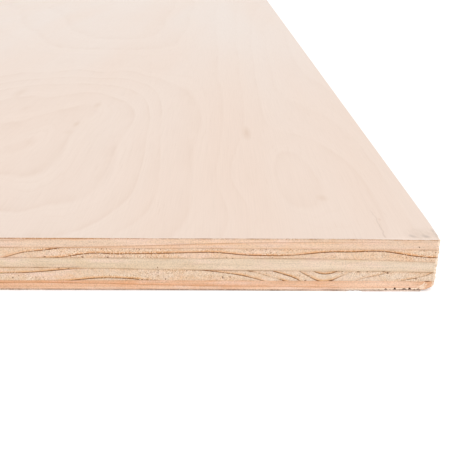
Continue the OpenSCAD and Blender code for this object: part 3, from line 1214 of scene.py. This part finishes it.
def sawn_material(fibre, name, pale, warm, tan, line, end_lines, side_lines):
    """Sawn wood of one ply: rings, fibres, specks, painted shade in voids and the gap, torn wood, glue along
    its seams, and painted shade along the back veneer's foot.
    """
    def along_fibres(along, across):
        return (along, across, across) if fibre == "x" else (across, along, across)

    material = bpy.data.materials.new(name)
    tree = Tree(material, warm)
    fibres = tree.noise(along_fibres(60, 2400), 4, 0.65)
    broad = tree.maths("MULTIPLY_ADD", tree.noise(along_fibres(9, 450), 4, 0.6), 2.2, -1.1)
    tree.layer(tree.maths("ADD", tree.value("tone"), broad, clamp=True), pale)
    tree.layer(tree.ramp(tree.noise((90, 90, 320), 3, 0.55), (0.5, 0), (0.78, 0.5)), tan)
    blush = tree.noise((75, 75, 380), 3, 0.6, location=(3, 5, 7))
    tree.layer(tree.ramp(blush, (0.5, 0), (0.72, 0.75)), BLUSH)
    tree.layer(tree.value("stain"), tan)

    part = tree.maths("FRACT", tree.value("ring"))
    width = tree.value("ring_width")
    above = tree.times(part, width)
    below = tree.times(tree.maths("SUBTRACT", 1.0, part), width)
    end_grain = tree.value("end_grain")
    shown = tree.ramp(end_grain, (0.0, side_lines), (1.0, end_lines))
    fade = tree.ramp(tree.noise((45, 45, 160)), (0.3, 0.55), (0.55, 1))
    shown = tree.times(shown, fade, tree.value("ring_shown"))
    tree.layer(tree.times(tree.ramp(above, (0.0, 0.95), (0.35, 0.7), (1.0, 0)), shown), tan)
    dark = tree.ramp(above, (0.0, 1), (0.15, 1), (0.26, 0))
    dark = tree.maths("MAXIMUM", dark, tree.ramp(below, (0.0, 1), (0.05, 1), (0.15, 0)))
    tree.layer(tree.times(dark, shown), line)

    tree.layer(1.0, tree.ramp(fibres, (0.3, 0.84), (0.5, 0.99), (0.7, 1.0)), "MULTIPLY")
    grit = tree.noise((2600, 2600, 2600), 1)
    tree.layer(1.0, tree.ramp(grit, (0.28, 0.82), (0.5, 0.99), (0.7, 1.07)), "MULTIPLY")
    add_specks(tree, fibre, end_grain, line)
    # Glue lines, with painted shade along the back veneer's foot.
    glue = tree.ramp(tree.noise((160, 160, 160)), (0.38, 0.3), (0.6, 1.0))
    tree.layer(tree.times(glue, tree.value("glue")), line)
    # Painted shade in the voids and in the gap by the broken corner.
    tree.layer(tree.ramp(tree.value("void"), (0.15, 0), (0.6, 0.75)), VOID_SHADE)
    torn = tree.ramp(tree.value("torn"), (0.1, 0), (0.7, 0.85))
    broken = tree.ramp(tree.noise((700, 700, 700)), (0.35, 0.3), (0.5, 1))
    tree.layer(tree.times(torn, broken), TORN_PALE)
    tree.finish_wood(fibres, [(0.2, 0.9), (0.8, 0.66)], SAWN_BUMP, Specular_IOR_Level=0.2)
    return material


def add_specks(tree, fibre, end_grain, dark):
    """Dark pores and pale specks on end grain, gathered in patches."""
    place = tree.add("ShaderNodeSeparateXYZ", {"Vector": tree.place((1, 1, 1))}).outputs
    across = place["X" if fibre == "y" else "Y"]
    flat = tree.add("ShaderNodeCombineXYZ", {"X": across, "Y": place["Z"]}).outputs["Vector"]
    gathered = tree.ramp(tree.noise((70, 70, 240)), (0.35, 0.1), (0.65, 1))
    for scale, size, chance, strength, tint in (
        (1900, 0.36, 0.45, 0.46, dark),
        (1100, 0.24, 0.68, 0.7, dark),
        (1700, 0.36, 0.45, 0.65, SPECK_PALE),
    ):
        cells = tree.add("ShaderNodeTexVoronoi", {"Vector": flat, "Scale": scale}, voronoi_dimensions="2D")
        spot = tree.ramp(cells.outputs["Distance"], (0.6 * size, strength), (size, 0))
        chosen = tree.ramp(cells.outputs["Color"], (chance, 0), (chance + 0.1, 1))
        tree.layer(tree.times(spot, chosen, gathered, end_grain), tint)


def birch_material(name, pale, warm, figure_colour, strength, photographed):
    """A sanded rotary-cut birch surface: figure, fibres, flecks and pin knots."""
    material = bpy.data.materials.new(name)
    tree = Tree(material, warm)
    rings = tree.maths("MULTIPLY_ADD", tree.noise((8, 2.4, 1), distortion=0.5), 15.0, -8.5)
    fade = tree.ramp(tree.noise((90, 26, 1), 3, 0.6), (0.4, 0.3), (0.6, 1))
    tone = TONE_MEAN
    if photographed:
        read = {"Factor": tree.value("figure_seen"), "A": rings, "B": tree.value("figure")}
        rings = tree.add("ShaderNodeMix", read, data_type="FLOAT").outputs["Result"]
        fade = tree.times(fade, tree.value("figure_shown"))
        tone = tree.value("tone")
    wobble = tree.maths("MULTIPLY_ADD", tree.noise((160, 14, 1), 3, 0.6), 0.24, -0.12)
    rings = tree.maths("ADD", rings, wobble)
    part = tree.maths("FRACT", rings)
    stops = [(0.0, 1.0), (0.07, 0.7), (0.2, 0.32), (0.55, 0.08), (0.9, 0.0), (0.96, 0.4), (1.0, 1.0)]
    lines = tree.ramp(part, *stops)
    fine = tree.maths("FRACT", tree.times(rings, 5.0))
    fine = tree.ramp(fine, (0.0, 0.42), (0.25, 0.1), (0.6, 0.0), (0.85, 0.0), (1.0, 0.42))
    early = tree.ramp(part, (0.55, 0), (0.87, 1), (0.95, 0))

    broad = tree.maths("MULTIPLY_ADD", tree.noise((16, 2.0, 1), 3), 0.8, -0.4)
    tree.layer(tree.maths("ADD", tone, broad, clamp=True), pale)
    tree.layer(tree.times(early, fade, EARLY_WOOD_SHOWN), EARLY_WOOD)
    tree.layer(tree.times(tree.maths("MAXIMUM", lines, fine), fade, strength), figure_colour)
    fibres = tree.noise((2200, 34, 1), 4, 0.6)
    tree.layer(1.0, tree.ramp(fibres, (0.3, 0.97), (0.6, 1.0)), "MULTIPLY")
    fleck = tree.ramp(tree.cells((620, 45, 1))["Distance"], (0.08, 0.3), (0.2, 0))
    tree.layer(tree.times(fleck, strength), figure_colour)

    knots = tree.cells((5.2, 3.4, 1))
    rare = tree.ramp(knots["Color"], (0.62, 0), (0.66, 1))
    knot = tree.times(tree.ramp(knots["Distance"], (0.006, 0.6), (0.015, 0)), rare)
    if photographed:
        knot = tree.times(knot, tree.maths("SUBTRACT", 1.0, tree.value("figure_seen")))
        for *spot, shown in FLECKS:
            fleck = tree.ramp(tree.off_spot(*spot), (0.1, shown), (0.5, 0.55 * shown), (1.0, 0))
            knot = tree.maths("MAXIMUM", knot, fleck)
    tree.layer(knot, KNOT_BROWN)
    if photographed:
        add_wear(tree)
    sheen = {"Sheen_Weight": 0.12, "Sheen_Roughness": 0.45}
    tree.finish_wood(fibres, [(0.2, 0.62), (0.8, 0.5)], SANDED_BUMP, Specular_IOR_Level=0.35, **sheen)
    return material


def add_wear(tree):
    """The fine crack that runs in from the front end, and the scuff and smudges by the corner."""
    start, end = (Vector(point) for point in on_face(CRACK_ENDS))
    way = end - start
    turn = math.atan2(way.y, way.x)
    along = tree.place((way.length, CRACK_UNIT, 1), (*start, 0), (0, 0, turn), "TEXTURE")
    parts = tree.add("ShaderNodeSeparateXYZ", {"Vector": along}).outputs
    bend = tree.maths("MULTIPLY_ADD", tree.noise((150, 150, 1)), 2.4, -1.2)
    off = tree.maths("ABSOLUTE", tree.maths("ADD", parts["Y"], bend))
    inside = tree.ramp(parts["X"], (0.0, 0), (0.1, 0.6), (0.5, 0.9), (0.99, 1), (1.0, 0))
    tree.layer(tree.times(tree.ramp(off, (0.05, 0.22), (0.35, 0)), inside), CRACK_BROWN)
    smear = tree.ramp(tree.noise((700, 420, 1), 3, 0.7), (0.35, 0.2), (0.65, 1))
    tree.layer(tree.times(tree.ramp(tree.off_spot(*SCUFF), (0.2, 0.5), (1.0, 0)), smear), SCUFF_GREY)
    for smudge in SMUDGES:
        tree.layer(tree.ramp(tree.off_spot(*smudge), (0.2, 0.26), (1.0, 0)), SMUDGE_GREY)


def ply_materials(name):
    """The material of a ply's sawn wood, and before it that of a veneer's surface."""
    fibre, _ = PLIES[name]
    found = [sawn_material(fibre, *SAWN_SIDES[name])]
    if name in BIRCH_SURFACES:
        found.insert(0, birch_material(*BIRCH_SURFACES[name], photographed=name == "face_veneer"))
    return found


def make_camera():
    data = bpy.data.cameras.new("photo_camera")
    data.lens = CAMERA_LENS
    data.sensor_width = CAMERA_SENSOR
    data.clip_start, data.clip_end = CAMERA_CLIP
    camera = add_object("photo_camera", data)
    camera.matrix_world = camera_matrix()
    bpy.context.scene.camera = camera


def make_floor():
    """A white floor that keeps the sheet's soft shadow and shows as the white background."""
    mesh = bpy.data.meshes.new("floor")
    corners = [(-1, -1), (1, -1), (1, 1), (-1, 1)]
    mesh.from_pydata([(x * FLOOR_REACH, y * FLOOR_REACH, FLOOR_Z) for x, y in corners], [], [(0, 1, 2, 3)])
    floor = add_object("floor", mesh)
    material = bpy.data.materials.new("floor")
    tree = Tree(material)
    diffuse = tree.add("ShaderNodeBsdfDiffuse", {"Color": FLOOR_COLOUR})
    glow = tree.add("ShaderNodeEmission", {"Strength": tree.times(tree.seen_directly(), FLOOR_GLOW)})
    both = tree.add("ShaderNodeAddShader", {0: diffuse.outputs[0], 1: glow.outputs[0]})
    tree.add("ShaderNodeOutputMaterial", {"Surface": both.outputs[0]})
    mesh.materials.append(material)


def make_light():
    """A soft key from the front and above, and an even white surround."""
    world = bpy.data.worlds.new("studio")
    tree = Tree(world)
    levels = {"Value": tree.seen_directly(), "To Min": SURROUND_LIGHT, "To Max": SURROUND_SEEN}
    strength = tree.add("ShaderNodeMapRange", levels).outputs["Result"]
    background = tree.add("ShaderNodeBackground", {"Color": (1, 1, 1, 1), "Strength": strength})
    tree.add("ShaderNodeOutputWorld", {"Surface": background.outputs["Background"]})
    bpy.context.scene.world = world
    lamp = bpy.data.lights.new("key", "SUN")
    lamp.energy = KEY_ENERGY
    lamp.angle = KEY_ANGLE
    key = add_object("key", lamp)
    key.rotation_mode = "QUATERNION"
    key.rotation_quaternion = KEY_WAY.to_track_quat("-Z", "Y")


def make_sheet():
    for name in NODES:
        piece = make_ply(name, ply_materials(name))
        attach(piece, "root")
        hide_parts(name)


bpy.context.scene.view_settings.view_transform = "Standard"
make_camera()
make_floor()
make_light()
make_sheet()
